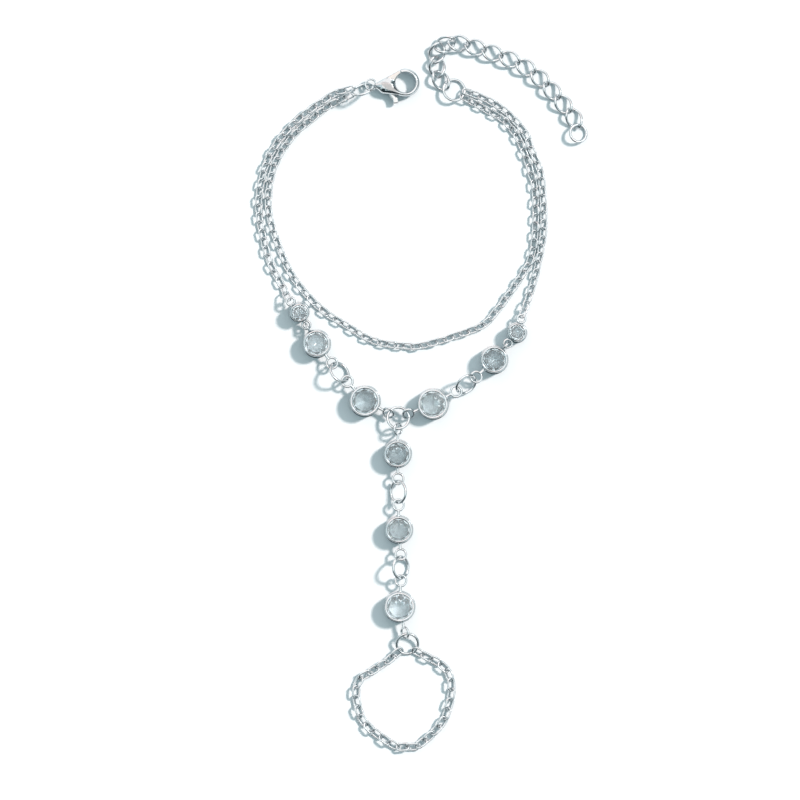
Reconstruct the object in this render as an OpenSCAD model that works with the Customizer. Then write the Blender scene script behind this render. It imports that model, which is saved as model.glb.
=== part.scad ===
// Hand chain bracelet lying on a table: a wrist chain of two fine strands, nine round stones in
// open-backed settings joined by jump rings, a finger loop of chain, a lobster clasp and an extender.
// The surface it lies on is z = 0. The origin is the middle of the wrist loop on that surface,
// +Y runs from the fingers to the wrist, +X to the side with the extender.

/* [Settings] */
// Outer diameter of the two small settings that end the stone row
small_setting_d = 4.6; // [3.8:0.1:5.6]
// Outer diameter of the medium settings
medium_setting_d = 6.4; // [5.3:0.1:7.7]
// Outer diameter of the large settings
large_setting_d = 7.1; // [5.9:0.1:8.6]
// Height of every setting
setting_h = 3.2; // [2.6:0.1:4]
// Thickness of a setting's wall above its seat
setting_wall = 0.45; // [0.35:0.05:0.6]
// Width of the seat that the stone rests on
seat_w = 0.35; // [0.25:0.05:0.5]
// How far the rim is pressed in over the stone
lip_w = 0.15; // [0.1:0.01:0.2]

/* [Stones] */
// Gap between a stone and its setting
stone_gap = 0.05; // [0.02:0.01:0.1]
// Height of the stone above its girdle
crown_h = 0.46; // [0.3:0.01:0.5]
// Width of the flat table as a share of the stone's width
table_share = 0.64; // [0.5:0.01:0.75]
// Pavilion depth as a share of the stone's radius
pavilion_share = 0.78; // [0.6:0.01:0.85]

/* [Soldered eyes] */
// Outer diameter of an eye on a stem
eye_d = 2.9; // [2.6:0.1:3.5]
// Outer diameter of an eye soldered close to the wall
close_eye_d = 2.3; // [2.2:0.1:2.8]
// Wire thickness of the eyes
eye_wire = 0.5; // [0.4:0.05:0.6]
// Length of the stem between the wall and its eye
stem_l = 0.85; // [0.6:0.05:1.2]
// Distance between the middles of two eyes that are hooked directly together
close_pitch = 0.7; // [0.65:0.05:0.85]

/* [Jump rings] */
// Outer diameter of a jump ring
ring_d = 5.4; // [4.8:0.1:6.5]
// Wire thickness of a jump ring
ring_wire = 0.6; // [0.5:0.05:0.72]
// Play between a jump ring and an eye that is pulled tight
ring_slack = 0.1; // [0.1:0.05:0.3]
// Gap left between two wires that pass through each other
link_gap = 0.15; // [0.1:0.01:0.2]

/* [Chain] */
// Diameter of the round outline of the fine chain strands
strand_d = 1.3; // [1.05:0.05:1.4]
// Diameter of the round outline of the finger chain
finger_chain_d = 1.8; // [1.5:0.05:2.1]
// Gap between the end of a chain and what its last link hooks into
chain_end_gap = 0.15; // [0.1:0.05:0.3]

/* [Extender] */
// Outer length of an extender link
link_l = 5.3; // [4.3:0.1:6.1]
// Outer width of an extender link
link_w = 3.9; // [3.3:0.1:4.7]
// Wire thickness of an extender link
link_wire = 0.6; // [0.5:0.05:0.72]
// Outer diameter of the ring that ends the extender
end_ring_d = 4.4; // [3.7:0.1:5.3]

/* [Clasp] */
// Outer radius of the clasp's hook
hook_r = 3.15; // [2.6:0.1:3.7]
// Radius of the opening inside the hook
hook_open_r = 2.15; // [1.8:0.05:2.3]
// Thickness of the clasp
clasp_t = 2.6; // [2.2:0.1:3.1]
// Thickness of the lever
lever_t = 0.8; // [0.6:0.05:0.9]
// Distance from the middle of the hook to the middle of the tail eye
clasp_reach = 7.7; // [7:0.1:9]
// Outer diameter of the tail eye
tail_eye_d = 2.9; // [2.7:0.1:3.5]
// Wire thickness of the tail eye
tail_wire = 0.5; // [0.4:0.05:0.6]
// Radius of the lever's rivet pin
pin_r = 0.35; // [0.3:0.05:0.45]

/* [Hidden] */
// Where the middle of the centre jump ring lies
centre_ring_xy = [-0.4, -45.1];
// Where the middle of the clasp's hook lies, and the way the clasp points
clasp_xy = [1.2, 29.3];
clasp_heading = 3;
// Where the extender ring lies
extender_ring_xy = [12, 27.7];

// Routes of the chains between their ends, through points chosen by hand: x, y and, where a
// chain rises, how far
inner_route = [
    [-13.4, 25.4, 0.3], [-16.4, 23.8], [-18.8, 21.9], [-22.7, 18.7], [-25.8, 14.9],
    [-27.9, 10.9], [-28.9, 7.1], [-29.3, 2], [-28.3, -3], [-26.4, -8.4], [-24.3, -12.9],
    [-21, -17.4],
    [-16.5, -21.7], [-12, -24.5], [-7.4, -27.3], [-3.8, -28.5], [1, -29.1], [4.4, -29.1],
    [11, -27.3], [18, -24.7], [20.7, -22.2], [23.7, -18.3], [26, -15], [28.6, -10.8],
    [29.7, -6.9], [30.1, -2.2], [30.1, 2.7], [29.7, 7.1], [27.9, 13], [26.2, 17.1],
    [23.1, 21], [19.8, 23], [17.5, 24.3]
];
left_route = [
    [-12.9, 27.5, 0.2], [-14.6, 26.9], [-20.1, 23.2], [-23.4, 20.5],
    [-26.9, 16.5], [-29.6, 11.7], [-31, 6.2], [-31.4, 0.9], [-30.2, -6], [-28.4, -11.7], [-25.9, -16.3]
];
right_route = [
    [17.7, 26.3], [20.6, 24.9], [24, 22.5], [27.6, 18.4], [29.1, 14.7], [31.1, 9.6],
    [31.8, 3.3], [31.9, -1.8], [31.6, -5.8], [30.4, -12], [28.9, -17.4]
];
// The finger chain's points are measured from the middle of the finger ring
finger_route = [
    [-3.7, -3.3], [-6.9, -5.5], [-10.2, -7.6], [-11.3, -9.9], [-11.2, -12.9], [-10.2, -16.4],
    [-8.5, -18.6], [-5.8, -20.7], [-2.8, -22.6], [-0.3, -22.9], [2.2, -22.6], [5.1, -20.4],
    [7.9, -17.2], [9.2, -13.8], [9.8, -10.1], [9.1, -6.6], [7.2, -4.4], [4.7, -3.1]
];

// Ends of the strands at the ring that holds them: direction from the ring's middle,
// distance past its outside, and how far the end rises
inner_at_clasp = [204, 0.5, 1];
left_at_clasp = [178, 0.1, 0.6];
inner_at_extender = [-35, 0.25, 0];
right_at_extender = [-8, 0.25, 0];

// Extender links in order: heading of the step to each link, its share of the full pitch, its roll
extender_rows = [
    [144, 0.9, 0], [106, 0.775, 0], [90, 0.77, 0], [47, 0.66, 12], [4, 0.76, 0], [-14, 0.93, 0],
    [-18, 0.98, 0], [-20, 1, 0], [-27, 1, 0], [-37, 0.98, 0], [-46, 0.96, 0], [-50, 0.96, 0],
    [-53, 0.97, 0]
];
end_ring_heading = -74;

// Settings in order along the wrist from the clasp side, then down to the finger.
// Columns: size (0 small, 1 medium, 2 large), setting it hangs from (0 is the centre ring),
// heading in, heading out, pitch that lifts its far side, roll of its near and far eye,
// 1 for a far eye that is close to the wall, and looseness of the ring before it
setting_rows = [
    [0, 2, 119, 128, 5, 8, 0, 1, 0],
    [1, 3, 128, 119, 0, 0, 88, 1, 0.3],
    [2, 0, 153, 132, 0, 36, 0, 0, 0.5],
    [2, 0, 22, 28, 3, -36, 0, 0, 0.5],
    [1, 4, 44, 50, 0, 0, 88, 1, 0.15],
    [0, 5, 50, 73, 0, -8, 0, 1, 0],
    [1, 0, 269, 271, -2, 48, 0, 0, 0.45],
    [1, 7, 271, 274, 0, 0, 0, 0, 0.04],
    [2, 8, 267, 282, 0, 0, 52, 0, 0.05]
];
SIZE = 0;
FROM = 1;
HEAD_IN = 2;
HEAD_OUT = 3;
PITCH = 4;
ROLL_IN = 5;
ROLL_OUT = 6;
CLOSE_OUT = 7;
LOOSE = 8;
finger_ring_loose = 0.4;
setting_count = len(setting_rows);
link_count = len(extender_rows);

// Jump rings between two settings: name, setting before, setting after, roll
ring_rows = [
    ["ring_left", 3, 2, 1],
    ["ring_right", 4, 5, 1],
    ["ring_drop_upper", 7, 8, 1],
    ["ring_drop_lower", 8, 9, -1]
];

// Radii of the wires' centre lines
eye_r = (eye_d - eye_wire) / 2;
close_eye_r = (close_eye_d - eye_wire) / 2;
ring_r = (ring_d - ring_wire) / 2;
end_ring_r = (end_ring_d - link_wire) / 2;
// Roll at which a jump ring's wire passes clear through a level eye
bend_share = 0.8;
ring_roll = asin(((eye_wire + ring_wire) / 2 + link_gap) / (bend_share * eye_r));
// Height of a rolled jump ring's middle, and of every eye on a level setting
eye_z = ring_r * sin(ring_roll) + ring_wire / 2;
// Depth that a close eye is soldered into the wall, and a stem's width as a share of the wire
solder = 0.3;
stem_share = 1.3;

// Distance from a setting's wall to the middle of its eye
function eye_reach(close) = close ? close_eye_d / 2 - solder : stem_l + eye_d / 2;
function cell(i, column) = setting_rows[i - 1][column];
function setting_d(i) = [small_setting_d, medium_setting_d, large_setting_d][cell(i, SIZE)];
function way(a) = [cos(a), sin(a)];
function from_of(i) = cell(i, FROM);
function close_in(i) = from_of(i) > 0 && cell(from_of(i), CLOSE_OUT) == 1;
function near_reach(i) = setting_d(i) / 2 + eye_reach(close_in(i));
function far_reach(i) = setting_d(i) / 2 + eye_reach(cell(i, CLOSE_OUT) == 1);

// Distance between the middles of an eye and a jump ring that hold each other
function ring_reach(loose) = ring_r + eye_r - (ring_wire + eye_wire) / 2 - ring_slack - loose;
// How far the middle of each eye is from the middle of a pitched setting, seen from above
function near_run(i) = near_reach(i) * cos(cell(i, PITCH)) + eye_z * sin(cell(i, PITCH));
function far_run(i) = far_reach(i) * cos(cell(i, PITCH)) - eye_z * sin(cell(i, PITCH));

// Middle of a setting on the surface, walked outwards from the centre ring
function setting_xy(i) =
    let (f = from_of(i), in = way(cell(i, HEAD_IN)), reach = ring_reach(cell(i, LOOSE)))
    f == 0 ? centre_ring_xy + (reach + near_run(i)) * in
    : let (out = way(cell(f, HEAD_OUT)), start = setting_xy(f) + far_run(f) * out)
      close_in(i) ? start + close_pitch * out + near_run(i) * in
      : start + reach * out + (reach + near_run(i)) * in;

// A pitched setting stands on its lower edge
function lift(i) = setting_d(i) / 2 * sin(abs(cell(i, PITCH)));
function eye_at(i, reach, heading) =
    let (p = cell(i, PITCH), h = cell(i, HEAD_IN), a = heading - h,
         x = reach * cos(a), y = reach * sin(a),
         u = x * cos(p) - eye_z * sin(p), z = x * sin(p) + eye_z * cos(p) + lift(i))
    concat(setting_xy(i) + u * way(h) + y * way(h + 90), [z]);
function near_eye(i) = eye_at(i, near_reach(i), cell(i, HEAD_IN) + 180);
function far_eye(i) = eye_at(i, far_reach(i), cell(i, HEAD_OUT));

// Turn and place a ring whose own x axis runs from one eye to the next, clear of the surface
module aimed(from, to, roll) {
    d = to - from;
    flat = norm([d.x, d.y]);
    middle = (from + to) / 2;
    translate([middle.x, middle.y, max(middle.z, eye_z)])
        rotate([0, -atan2(d.z, flat), atan2(d.y, d.x)])
            rotate([roll, 0, 0])
                children();
}

// Wire ring lying flat about the origin
module wire_ring(mean_r, wire) {
    rotate_extrude($fn = 96)
        translate([mean_r, 0])
            circle(d = wire, $fn = 24);
}

// Tube with eight sides along a route of points in space
tube_sides = 8;
function tangent(p, k) = p[min(k + 1, len(p) - 1)] - p[max(k - 1, 0)];
function tube_ring(p, k, r) =
    let (t = tangent(p, k), side = [-t.y, t.x, 0] / norm([t.x, t.y]), up = cross(t, side) / norm(t))
    [for (s = [0:tube_sides - 1]) let (a = (s + 0.5) * 360 / tube_sides)
        p[k] + r * (cos(a) * side + sin(a) * up)];
module tube(p, d) {
    n = len(p);
    r = d / 2 / cos(180 / tube_sides);
    points = [for (k = [0:n - 1]) each tube_ring(p, k, r)];
    sides = [for (k = [0:n - 2], s = [0:tube_sides - 1])
        let (a = k * tube_sides, b = a + tube_sides, e = (s + 1) % tube_sides)
        each [[a + s, b + s, b + e], [a + s, b + e, a + e]]];
    caps = [[for (s = [0:tube_sides - 1]) s],
            [for (s = [tube_sides - 1:-1:0]) (n - 1) * tube_sides + s]];
    polyhedron(points, concat(sides, caps), convexity = 10);
}
function laid(route, d) = [for (p = route) [p.x, p.y, d / 2 + (len(p) > 2 ? p.z : 0)]];

/* Settings and stones */
function stone_r(i) = setting_d(i) / 2 - setting_wall - stone_gap;
function girdle_z() = setting_h - crown_h - girdle_t - table_sink;
function pavilion_h(i) = min(pavilion_share * stone_r(i), girdle_z() - back_gap);
girdle_t = 0.12;
table_sink = 0.04;
back_gap = 0.15;
lip_h = 0.25;
rim_round = 0.12;
facets = 16;
table_corner = 0.95;

module placed_setting(i) {
    translate(concat(setting_xy(i), [lift(i)]))
        rotate([0, 0, cell(i, HEAD_IN)])
            rotate([0, -cell(i, PITCH), 0])
                children();
}

// Wall of a setting: its outline from the axis outwards, with the seat cut to the stone's slope
module setting_wall_ring(i) {
    r = setting_d(i) / 2;
    inner = r - setting_wall;
    slope = pavilion_h(i) / stone_r(i);
    seat_z = girdle_z() - stone_gap;
    rotate_extrude($fn = 96)
        polygon([
            [inner - seat_w, 0], [r, 0], [r, setting_h - rim_round], [r - rim_round, setting_h],
            [inner - lip_w, setting_h], [inner, setting_h - lip_h], [inner, seat_z],
            [inner - seat_w, seat_z - seat_w * slope]
        ]);
}

// Eye with its stem, reaching out along a heading from the wall
module setting_eye(i, heading, close, roll) {
    r = setting_d(i) / 2;
    mean_r = close ? close_eye_r : eye_r;
    reach = r + eye_reach(close);
    stem_from = r - setting_wall / 2;
    rotate([0, 0, heading]) {
        translate([reach, 0, eye_z])
            rotate([roll, 0, 0])
                wire_ring(mean_r, eye_wire);
        if (!close)
            translate([stem_from, 0, eye_z])
                rotate([0, 90, 0])
                    cylinder(d = stem_share * eye_wire, h = reach - mean_r - stem_from, $fn = 24);
    }
}

module setting(i) {
    color("silver")
        placed_setting(i) {
            setting_wall_ring(i);
            setting_eye(i, 180, close_in(i), cell(i, ROLL_IN));
            setting_eye(i, cell(i, HEAD_OUT) - cell(i, HEAD_IN), cell(i, CLOSE_OUT) == 1,
                        cell(i, ROLL_OUT));
        }
}

// Faceted stone: eight-cornered table, crown, girdle and a pavilion that ends in a point
function facet_ring(r, z, corner_share) =
    [for (k = [0:facets - 1]) let (a = k * 360 / facets, s = k % 2 == 0 ? 1 : corner_share)
        [r * s * cos(a), r * s * sin(a), z]];
module stone(i) {
    r = stone_r(i);
    rings = [
        facet_ring(r * table_share, girdle_z() + girdle_t + crown_h, table_corner),
        facet_ring(r, girdle_z() + girdle_t, 1),
        facet_ring(r, girdle_z(), 1)
    ];
    tip = [0, 0, girdle_z() - pavilion_h(i)];
    sides = [for (k = [0:1], s = [0:facets - 1])
        let (a = k * facets, b = a + facets, e = (s + 1) % facets)
        each [[a + s, b + e, b + s], [a + s, a + e, b + e]]];
    pavilion = [for (s = [0:facets - 1]) [2 * facets + s, 2 * facets + (s + 1) % facets, 3 * facets]];
    table = [for (s = [facets - 1:-1:0]) s];
    color("lightsteelblue")
        placed_setting(i)
            polyhedron([for (p = rings) each p, tip], concat(sides, pavilion, [table]));
}

/* Jump rings */
module ring_between(row) {
    color("silver")
        aimed(far_eye(row[1]), near_eye(row[2]), row[3] * ring_roll)
            wire_ring(ring_r, ring_wire);
}

// The centre ring holds three eyes: two across, and the drop's eye at its raised side
centre_roll = 11;
module ring_centre() {
    a = near_eye(3);
    b = near_eye(4);
    mid_z = (a.z + b.z) / 2 + ring_r * sin(centre_roll) * sin(cell(4, HEAD_IN));
    color("silver")
        translate(concat(centre_ring_xy, [mid_z]))
            rotate([0, -atan2(b.z - a.z, b.x - a.x), 0])
                rotate([-centre_roll, 0, 0])
                    wire_ring(ring_r, ring_wire);
}

// The finger ring hangs from the last setting and slopes down to the surface
finger_ring_pitch = 21;
function finger_ring_at() =
    let (e = far_eye(setting_count), h = cell(setting_count, HEAD_OUT))
    concat([e.x, e.y] + ring_reach(finger_ring_loose) * way(h),
           [ring_r * sin(finger_ring_pitch) + ring_wire / 2]);
module finger_ring() {
    color("silver")
        translate(finger_ring_at())
            rotate([0, finger_ring_pitch, cell(setting_count, HEAD_OUT)])
                wire_ring(ring_r, ring_wire);
}

/* Chains */
chain_rise = 0.5;
// Directions from the finger ring's middle in which the two ends of the finger chain leave it
finger_chain_from = [222, -38];
function held_end(middle, row) = concat(middle + (ring_d / 2 + row[1]) * way(row[0]), [row[2]]);
module inner_strand() {
    ends = [held_end(clasp_ring_xy, inner_at_clasp), held_end(extender_ring_xy, inner_at_extender)];
    color("silver")
        tube(laid(concat([ends[0]], inner_route, [ends[1]]), strand_d), strand_d);
}
// A strand that ends at the far eye of a setting stops just short of its wire
function eye_stop(i) =
    let (e = far_eye(i))
    concat([e.x, e.y] + (close_eye_d / 2 + chain_end_gap) * way(cell(i, HEAD_OUT)),
           [strand_d / 2 + chain_rise]);
module outer_strand_left() {
    start = held_end(clasp_ring_xy, left_at_clasp);
    color("silver")
        tube(concat(laid(concat([start], left_route), strand_d), [eye_stop(1)]), strand_d);
}
module outer_strand_right() {
    start = held_end(extender_ring_xy, right_at_extender);
    color("silver")
        tube(concat(laid(concat([start], right_route), strand_d), [eye_stop(6)]), strand_d);
}
module finger_chain() {
    c = finger_ring_at();
    hold = ring_d / 2 + chain_end_gap;
    middle = [c.x, c.y];
    ends = [for (a = finger_chain_from) middle + hold * way(a)];
    loop = [for (p = finger_route) middle + p];
    color("silver")
        tube(laid(concat([ends[0]], loop, [ends[1]]), finger_chain_d), finger_chain_d);
}

/* Extender */
// Closed link with a quarter turn of twist from one end to the other
link_half_l = (link_l - link_wire) / 2;
link_half_w = (link_w - link_wire) / 2;
link_end_roll = 45;
link_steps = 22;
link_sides = 6;
link_play = 0.06;
link_pitch = 2 * link_half_l - link_wire - link_play;
function link_roll(k) = extender_rows[k - 1][2];
function link_z(k) =
    link_wire / 2 + max([for (t = [0:5:355])
        abs(link_half_w * sin(t) * sin(link_end_roll * cos(t) + link_roll(k)))]);
function link_point(t) =
    let (x = link_half_l * cos(t), w = link_half_w * sin(t), roll = link_end_roll * cos(t))
    [x, w * cos(roll), w * sin(roll)];
module link() {
    points = [for (k = [0:link_steps - 1])
        let (t = k * 360 / link_steps, p = link_point(t), d = link_point(t + 1) - link_point(t - 1),
             out = cross(d, cross(p, d)), n = out / norm(out), b = cross(d, n) / norm(cross(d, n)))
        each [for (s = [0:link_sides - 1]) let (a = s * 360 / link_sides)
            p + link_wire / 2 * (cos(a) * n + sin(a) * b)]];
    total = link_steps * link_sides;
    faces = [for (k = [0:link_steps - 1], s = [0:link_sides - 1])
        let (a = k * link_sides, b = (a + link_sides) % total, e = (s + 1) % link_sides)
        each [[a + s, b + s, b + e], [a + s, b + e, a + e]]];
    polyhedron(points, faces, convexity = 6);
}
end_play = 0.15;
end_ring_roll = 20;
ring_hold = ring_r + link_half_l - (ring_wire + link_wire) / 2 - end_play;
function link_step(k) = k > link_count ? end_ring_heading : extender_rows[k - 1][0];
function link_xy(k) =
    k == 1 ? extender_ring_xy + (ring_hold - (1 - extender_rows[0][1]) * link_pitch) * way(link_step(1))
    : link_xy(k - 1) + link_pitch * extender_rows[k - 1][1] * way(link_step(k));
module extender_link(k) {
    color("silver")
        translate(concat(link_xy(k), [link_z(k)]))
            rotate([link_roll(k), 0, (link_step(k) + link_step(k + 1)) / 2])
                link();
}
module extender_end_ring() {
    reach = end_ring_r + link_half_l - link_wire - end_play;
    color("silver")
        translate(concat(link_xy(link_count) + reach * way(end_ring_heading),
                         [end_ring_r * sin(end_ring_roll) + link_wire / 2]))
            rotate([-end_ring_roll, 0, end_ring_heading])
                wire_ring(end_ring_r, link_wire);
}
extender_ring_roll = 16;
module extender_ring() {
    color("silver")
        translate(concat(extender_ring_xy, [ring_r * sin(extender_ring_roll) + ring_wire / 2]))
            rotate([extender_ring_roll, 0, link_step(1)])
                wire_ring(ring_r, ring_wire);
}

/* Clasp */
// The ring that joins the two strands to the clasp leans against the tail eye
clasp_ring_roll = 62;
clasp_ring_heading = 18;
clasp_ring_from_eye = 212;
clasp_ring_play = 0.15;
clasp_ring_xy = clasp_xy - clasp_reach * way(clasp_heading)
    + (ring_r - clasp_ring_play) * way(clasp_ring_from_eye);
module clasp_ring() {
    color("silver")
        translate(concat(clasp_ring_xy, [ring_r * sin(clasp_ring_roll) + ring_wire / 2]))
            rotate([-clasp_ring_roll, 0, clasp_ring_heading])
                wire_ring(ring_r, ring_wire);
}

module placed_clasp() {
    translate(concat(clasp_xy, [clasp_t / 2]))
        rotate([0, 0, clasp_heading])
            children();
}

pivot = [-4.1, -0.9];
hub_r = 1;
neck_r = 1.75;
neck_at = [-5.15, -0.4];
gate_from = 112;
gate_to = 160;
gate_gap = 2;
arm_to = 187;
slot_play = 0.07;
pin_play = 0.05;
tab_at = [-2.3, -3.8];
tab_r = 0.75;
tab_w = 1.1;
sweep_r = 3.7;
// Directions from the pivot between which the slot is open for the gate arm and for the tab
swing_from = -14;
swing_to = 102;
tab_from = -114;
tab_to = -22;
big = 3 * hook_r;

// Flat shape round the neck and the hook with their common tangents, drawn in by an inset
module teardrop(inset) {
    neck = neck_r - inset;
    hook = hook_r - inset;
    run = norm(neck_at);
    lean = atan2(neck_at.y, neck_at.x);
    a = acos((hook - neck) / run);
    polygon([
        hook * way(lean - a), neck_at + neck * way(lean - a),
        neck_at + neck * way(lean + a), hook * way(lean + a)
    ]);
    translate(neck_at) circle(r = neck, $fn = 64);
    circle(r = hook, $fn = 96);
}
module wedge(at, from, to, r) {
    middle = (from + to) / 2;
    translate(at)
        polygon([[0, 0], r * way(from), r / cos((to - from) / 2) * way(middle), r * way(to)]);
}
module clasp_body() {
    color("silver")
        placed_clasp() {
            difference() {
                translate([0, 0, -clasp_t / 2])
                    linear_extrude(clasp_t)
                        difference() {
                            teardrop(0);
                            circle(r = hook_open_r, $fn = 96);
                            wedge([0, 0], gate_from, gate_to, big);
                        }
                translate([0, 0, -lever_t / 2 - slot_play])
                    linear_extrude(lever_t + 2 * slot_play) {
                        translate(pivot) circle(r = hub_r + 2 * slot_play, $fn = 64);
                        wedge(pivot, swing_from, swing_to, sweep_r);
                        wedge(pivot, tab_from, tab_to, big);
                    }
            }
            translate([pivot.x, pivot.y, -clasp_t / 2])
                cylinder(r = pin_r, h = clasp_t, $fn = 32);
            translate([-clasp_reach, 0, 0])
                wire_ring((tail_eye_d - tail_wire) / 2, tail_wire);
        }
}

// Gate arm, hub and thumb tab of the lever in one flat shape
module lever_shape() {
    reach = tab_at - pivot;
    intersection() {
        difference() {
            teardrop(slot_play);
            circle(r = hook_open_r + slot_play, $fn = 96);
        }
        wedge([0, 0], gate_from + gate_gap, arm_to, big);
        translate([pivot.x, -big]) square(2 * big);
    }
    translate(pivot) {
        circle(r = hub_r, $fn = 64);
        rotate(atan2(reach.y, reach.x))
            translate([0, -tab_w / 2])
                square([norm(reach), tab_w]);
    }
    translate(tab_at) circle(r = tab_r, $fn = 48);
}
module clasp_lever() {
    color("silver")
        placed_clasp()
            translate([0, 0, -lever_t / 2])
                linear_extrude(lever_t)
                    difference() {
                        lever_shape();
                        translate(pivot) circle(r = pin_r + pin_play, $fn = 32);
                    }
}

clasp_body();
clasp_lever();
clasp_ring();
extender_ring();
extender_end_ring();
for (k = [1:link_count])
    extender_link(k);
inner_strand();
outer_strand_left();
outer_strand_right();
finger_chain();
for (i = [1:setting_count])
    setting(i);
for (i = [1:setting_count])
    stone(i);
for (row = ring_rows)
    ring_between(row);
ring_centre();
finger_ring();
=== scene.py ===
"""Looks of the hand chain bracelet: settings, stones, rings, linked chains, clasp, floor, light and camera.

Sizes are in millimetres, the part's own, and each finished mesh is scaled to metres once, at the end.
"""
import math

import bmesh
import bpy
import numpy as np
from mathutils import Matrix, Vector


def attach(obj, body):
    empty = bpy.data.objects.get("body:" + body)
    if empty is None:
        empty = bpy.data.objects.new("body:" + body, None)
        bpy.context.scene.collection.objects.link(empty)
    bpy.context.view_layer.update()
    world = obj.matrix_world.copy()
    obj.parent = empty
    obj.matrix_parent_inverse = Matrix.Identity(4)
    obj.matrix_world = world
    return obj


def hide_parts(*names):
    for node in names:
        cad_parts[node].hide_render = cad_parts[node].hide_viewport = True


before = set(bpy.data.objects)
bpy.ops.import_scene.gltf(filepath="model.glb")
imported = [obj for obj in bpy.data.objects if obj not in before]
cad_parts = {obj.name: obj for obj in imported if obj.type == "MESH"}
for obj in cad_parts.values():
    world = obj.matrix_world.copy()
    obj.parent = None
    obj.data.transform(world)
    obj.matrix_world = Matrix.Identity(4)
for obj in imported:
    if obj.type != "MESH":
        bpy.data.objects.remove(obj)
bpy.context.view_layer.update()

MM = 0.001

# Sizes of the part, with its own names for them
SETTING_D = {"small": 4.6, "medium": 6.4, "large": 7.1}
SETTING_H = 3.2
SETTING_WALL = 0.45
SEAT_W = 0.35
STONE_GAP = 0.05
CROWN_H = 0.46
PAVILION_SHARE = 0.78
GIRDLE_T = 0.12
TABLE_SINK = 0.04
BACK_GAP = 0.15
EYE_D, CLOSE_EYE_D, EYE_WIRE = 2.9, 2.3, 0.5
STEM_L, SOLDER = 0.85, 0.3
CLOSE_PITCH = 0.7
RING_D, RING_WIRE, RING_SLACK, LINK_GAP = 5.4, 0.6, 0.1, 0.15
LINK_L, LINK_W, LINK_WIRE = 5.3, 3.9, 0.6
END_RING_D = 4.4
HOOK_R, HOOK_OPEN_R, CLASP_T, LEVER_T = 3.15, 2.15, 2.6, 0.8
CLASP_REACH, TAIL_EYE_D, TAIL_WIRE, PIN_R = 7.7, 2.9, 0.5, 0.35

# Share of an eye's radius at which the wire of a jump ring crosses it
CROSSING = 0.8
EYE_R = (EYE_D - EYE_WIRE) / 2
CLOSE_EYE_R = (CLOSE_EYE_D - EYE_WIRE) / 2
RING_R = (RING_D - RING_WIRE) / 2
RING_ROLL = math.degrees(math.asin(((EYE_WIRE + RING_WIRE) / 2 + LINK_GAP) / (CROSSING * EYE_R)))
EYE_Z = RING_R * math.sin(math.radians(RING_ROLL)) + RING_WIRE / 2

CENTRE_RING = np.array([-0.4, -45.1])
EXTENDER_RING = np.array([12, 27.7])
CLASP, CLASP_HEADING = np.array([1.2, 29.3]), 3


def sind(a):
    return math.sin(math.radians(a))


def cosd(a):
    return math.cos(math.radians(a))


def way(a):
    """Unit vector on the surface at a heading in degrees."""
    return np.array([cosd(a), sind(a)])


def turned(x=0, y=0, z=0):
    """Rotation about x, then y, then z, in degrees."""
    return (Matrix.Rotation(math.radians(z), 4, "Z") @ Matrix.Rotation(math.radians(y), 4, "Y")
            @ Matrix.Rotation(math.radians(x), 4, "X"))


# Settings in the part's order: size, setting it hangs from (0 is the centre ring), heading in,
# heading out, pitch, roll of the near and far eye, far eye close to the wall, looseness before it
SETTINGS = [
    ("small", 2, 119, 128, 5, 8, 0, True, 0),
    ("medium", 3, 128, 119, 0, 0, 88, True, 0.3),
    ("large", 0, 153, 132, 0, 36, 0, False, 0.5),
    ("large", 0, 22, 28, 3, -36, 0, False, 0.5),
    ("medium", 4, 44, 50, 0, 0, 88, True, 0.15),
    ("small", 5, 50, 73, 0, -8, 0, True, 0),
    ("medium", 0, 269, 271, -2, 48, 0, False, 0.45),
    ("medium", 7, 271, 274, 0, 0, 0, False, 0.04),
    ("large", 8, 267, 282, 0, 0, 52, False, 0.05),
]


class Setting:
    """Place and eyes of one setting, worked out as the part does."""

    def __init__(self, number):
        (size, self.hangs_from, self.head_in, self.head_out, self.pitch, self.roll_in, self.roll_out,
         self.close_out, loose) = SETTINGS[number - 1]
        self.number = number
        self.d = SETTING_D[size]
        before = Setting(self.hangs_from) if self.hangs_from else None
        self.close_in = bool(before and before.close_out)
        self.reach_in = self.d / 2 + eye_reach(self.close_in)
        self.reach_out = self.d / 2 + eye_reach(self.close_out)
        reach = ring_reach(loose)
        near_run = self.reach_in * cosd(self.pitch) + EYE_Z * sind(self.pitch)
        if before is None:
            self.xy = CENTRE_RING + (reach + near_run) * way(self.head_in)
        else:
            out = way(before.head_out)
            start = before.xy + (before.reach_out * cosd(before.pitch) - EYE_Z * sind(before.pitch)) * out
            gap = CLOSE_PITCH * out if self.close_in else reach * out + reach * way(self.head_in)
            self.xy = start + gap + near_run * way(self.head_in)
        self.lift = self.d / 2 * sind(abs(self.pitch))
        self.place = Matrix.Translation((*self.xy, self.lift)) @ turned(0, -self.pitch, self.head_in)
        self.stone_r = self.d / 2 - SETTING_WALL - STONE_GAP
        self.girdle_z = SETTING_H - CROWN_H - GIRDLE_T - TABLE_SINK
        self.pavilion_h = min(PAVILION_SHARE * self.stone_r, self.girdle_z - BACK_GAP)

    def eye(self, reach, heading):
        a = heading - self.head_in
        return self.place @ Vector((reach * cosd(a), reach * sind(a), EYE_Z))

    def near_eye(self):
        return self.eye(self.reach_in, self.head_in + 180)

    def far_eye(self):
        return self.eye(self.reach_out, self.head_out)


def eye_reach(close):
    return CLOSE_EYE_D / 2 - SOLDER if close else STEM_L + EYE_D / 2


def ring_reach(loose):
    return RING_R + EYE_R - (RING_WIRE + EYE_WIRE) / 2 - RING_SLACK - loose


settings = {n: Setting(n) for n in range(1, len(SETTINGS) + 1)}
LAST = len(SETTINGS)


# Meshes are kept as (points, faces) in millimetres until a piece is finished

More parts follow.
